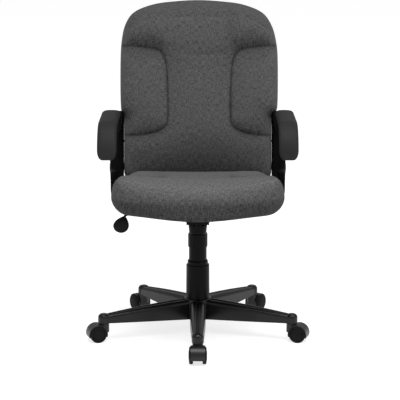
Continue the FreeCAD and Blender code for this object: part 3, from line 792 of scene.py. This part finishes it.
def arm_frame(name, sign):
    """Rounded bar carried round the loop inside its outline; the front leg bows outwards."""
    arcs = arm_arcs()
    spans = []
    for arc, following_arc in zip(arcs, arcs[1:] + arcs[:1]):
        spans += [arc, np.linspace(arc[-1], following_arc[0], 8)[1:-1]]
    path = np.vstack(spans)
    inward = path_inward(path, True)
    path = path + inward * ARM_BAND / 2
    section = superellipse((ARM_OUTER - ARM_INNER) / 2, ARM_BAND / 2, 4.5, 28)
    y, z = path[:, :1], path[:, 1:]
    front_bow = (0.0078 * smooth_step((y + 0.15) / 0.13) * smooth_step((0.545 - z) / 0.04)
                 * smooth_step((0.10 - y) / 0.08) * smooth_step((z - 0.375) / 0.05))
    x = (ARM_OUTER + ARM_INNER) / 2 + section[None, :, 0] + front_bow
    yz = path[:, None, :] + inward[:, None, :] * section[None, :, 1:2]
    loop = np.dstack([sign * x, yz[..., 0], yz[..., 1]])
    return build_mesh(name, loop, ring_faces(len(path), len(section), True))


def bevelled_box(name, low, high, width):
    corners = [(x, y, z) for x in (low[0], high[0]) for y in (low[1], high[1])
               for z in (low[2], high[2])]
    faces = [(0, 1, 3, 2), (4, 6, 7, 5), (0, 4, 5, 1), (2, 3, 7, 6), (0, 2, 6, 4), (1, 5, 7, 3)]
    thing = build_mesh(name, corners, faces)
    bevel = thing.modifiers.new("edges", "BEVEL")
    bevel.width = width
    bevel.segments = 3
    return thing


ARM_FOOT = [(0.130, 0.0, 0.376), (ARM_OUTER, 0.080, 0.3838)]
ARM_WEB = [(ARM_INNER, 0.0, 0.377), (ARM_OUTER, 0.080, 0.397)]
for side_name, sign in (("left", -1), ("right", 1)):
    arm = arm_frame("arm_moulding_" + side_name, sign)
    pieces = [arm]
    for part_name, (low, high) in (("foot", ARM_FOOT), ("web", ARM_WEB)):
        if sign < 0:
            low, high = (-high[0], low[1], low[2]), (-low[0], high[1], high[2])
        pieces.append(bevelled_box("arm_%s_%s" % (part_name, side_name), low, high, 0.002))
    for piece in pieces:
        outward(piece)
        piece.data.materials.append(arm_nylon)
        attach(piece, "seat")
    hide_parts("arm_" + side_name)

# ---- Armrest pads ----------------------------------------------------------------------
# Self-skinned polyurethane pads with a matt pebbled skin. Each wraps over the arm from behind
# the elbow to well down its front corner and ends in a rounded tip.
PAD_INNER, PAD_OUTER = 0.224, 0.278
PAD_HALF_THICK = 0.0105
PAD_LIFT = 0.0065
PAD_TIP = (-0.150, 0.538)
PAD_REAR = (0.105, 0.626)
pad_skin = moulded("matt_pad_skin", (0.0150, 0.0150, 0.0150), 0.60, 700, 0.0003, 0.1, 0.15)


def capped_tube(rows, steps):
    """Faces of a tube of rings with a flat cap on its first and last ring."""
    last = (rows - 1) * steps
    return ring_faces(rows, steps, False) + [tuple(range(steps)), tuple(range(last, last + steps))]


def armrest_pad(name, sign):
    """Rounded slab carried along the arm's outline, drawn in at both ends by a quarter ellipse."""
    front_arc = arm_arcs()[0]
    path = np.vstack([np.linspace(PAD_TIP, front_arc[0], 12)[:-1], front_arc,
                      np.linspace(front_arc[-1], PAD_REAR, 40)[1:]])
    length = np.concatenate([[0], np.cumsum(np.linalg.norm(np.diff(path, axis=0), axis=1))])
    share = (1 - np.cos(np.linspace(0, math.pi, 110))) / 2 * length[-1]
    path = np.column_stack([np.interp(share, length, path[:, k]) for k in range(2)])
    inward = path_inward(path, False)
    from_end = np.minimum(share, length[-1] - share)[:, None]
    width = 0.45 + 0.55 * rounding(from_end, 0.026)
    thick = rounding(from_end, 0.013)
    section = superellipse((PAD_OUTER - PAD_INNER) / 2, PAD_HALF_THICK, 3.2, 48)
    x = (PAD_OUTER + PAD_INNER) / 2 + section[None, :, 0] * width
    out = PAD_LIFT + section[None, :, 1] * thick
    yz = path[:, None, :] - inward[:, None, :] * out[..., None]
    slab = np.dstack([sign * x, yz[..., 0], yz[..., 1]])
    return build_mesh(name, slab, capped_tube(len(path), len(section)))


for side_name, sign in (("left", -1), ("right", 1)):
    pad = armrest_pad("armrest_pad_skin_" + side_name, sign)
    outward(pad)
    pad.data.materials.append(pad_skin)
    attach(pad, "seat")
    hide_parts("armrest_pad_" + side_name)

# ---- Lever grip ------------------------------------------------------------------------
# Egg-shaped moulded paddle pushed onto the bent end of the lever rod, thickest in its middle,
# with a rubbed matt texture.
GRIP_OUTLINE = [(-0.211, 0.3465), (-0.2025, 0.335), (-0.199, 0.318), (-0.206, 0.303),
                (-0.222, 0.2970), (-0.2385, 0.3035), (-0.2448, 0.318), (-0.2385, 0.332),
                (-0.225, 0.342)]
GRIP_HALF_THICK = 0.0085
grip_outline = even_steps(smooth_curve(GRIP_OUTLINE, 12, closed=True), 72)
grip_centre = grip_outline.mean(axis=0)
grip_share = np.sin(np.linspace(0, 1, 20) * math.pi / 2)[:, None, None]
grip_plan = grip_centre + grip_share * (grip_outline - grip_centre)
grip_edge = line_distance(grip_plan, np.vstack([grip_outline, grip_outline[:1]]))
grip_swell = GRIP_HALF_THICK * rounding(grip_edge, 0.020)
grip = two_sided_shell("lever_paddle",
                       np.dstack([grip_plan[..., 0], grip_swell, grip_plan[..., 1]]),
                       np.dstack([grip_plan[..., 0], -grip_swell, grip_plan[..., 1]]))
outward(grip)
grip.data.materials.append(grip_plastic)
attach(grip, "lever")
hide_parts("lever_grip")

# ---- Tension spring --------------------------------------------------------------------
# Coil of bright spring steel between the housing's bottom and the tension knob, built as one fixed coil.
SPRING_FOOT, SPRING_TOP = (0.0, -0.080, 0.3226), (0.0, -0.080, 0.3576)
SPRING_R, SPRING_WIRE_R, SPRING_PITCH = 0.015, 0.002, 0.0088
SPRING_ROWS, SPRING_SIDES = 200, 12
spring_rise = SPRING_TOP[2] - SPRING_FOOT[2]
spring_turn = np.linspace(0, 2 * math.pi * spring_rise / SPRING_PITCH, SPRING_ROWS)[:, None]
spring_wire = superellipse(SPRING_WIRE_R, SPRING_WIRE_R, 2, SPRING_SIDES)
spring_reach = SPRING_R + spring_wire[None, :, 0]
spring_points = np.dstack([SPRING_FOOT[0] + spring_reach * np.cos(spring_turn),
                           SPRING_FOOT[1] + spring_reach * np.sin(spring_turn),
                           SPRING_FOOT[2] + SPRING_PITCH * spring_turn / (2 * math.pi)
                           + spring_wire[None, :, 1]])
spring = build_mesh("tension_coil", spring_points, capped_tube(SPRING_ROWS, SPRING_SIDES))
outward(spring)
spring.data.materials.append(zinc_steel)
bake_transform(spring)
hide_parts("tension_spring")
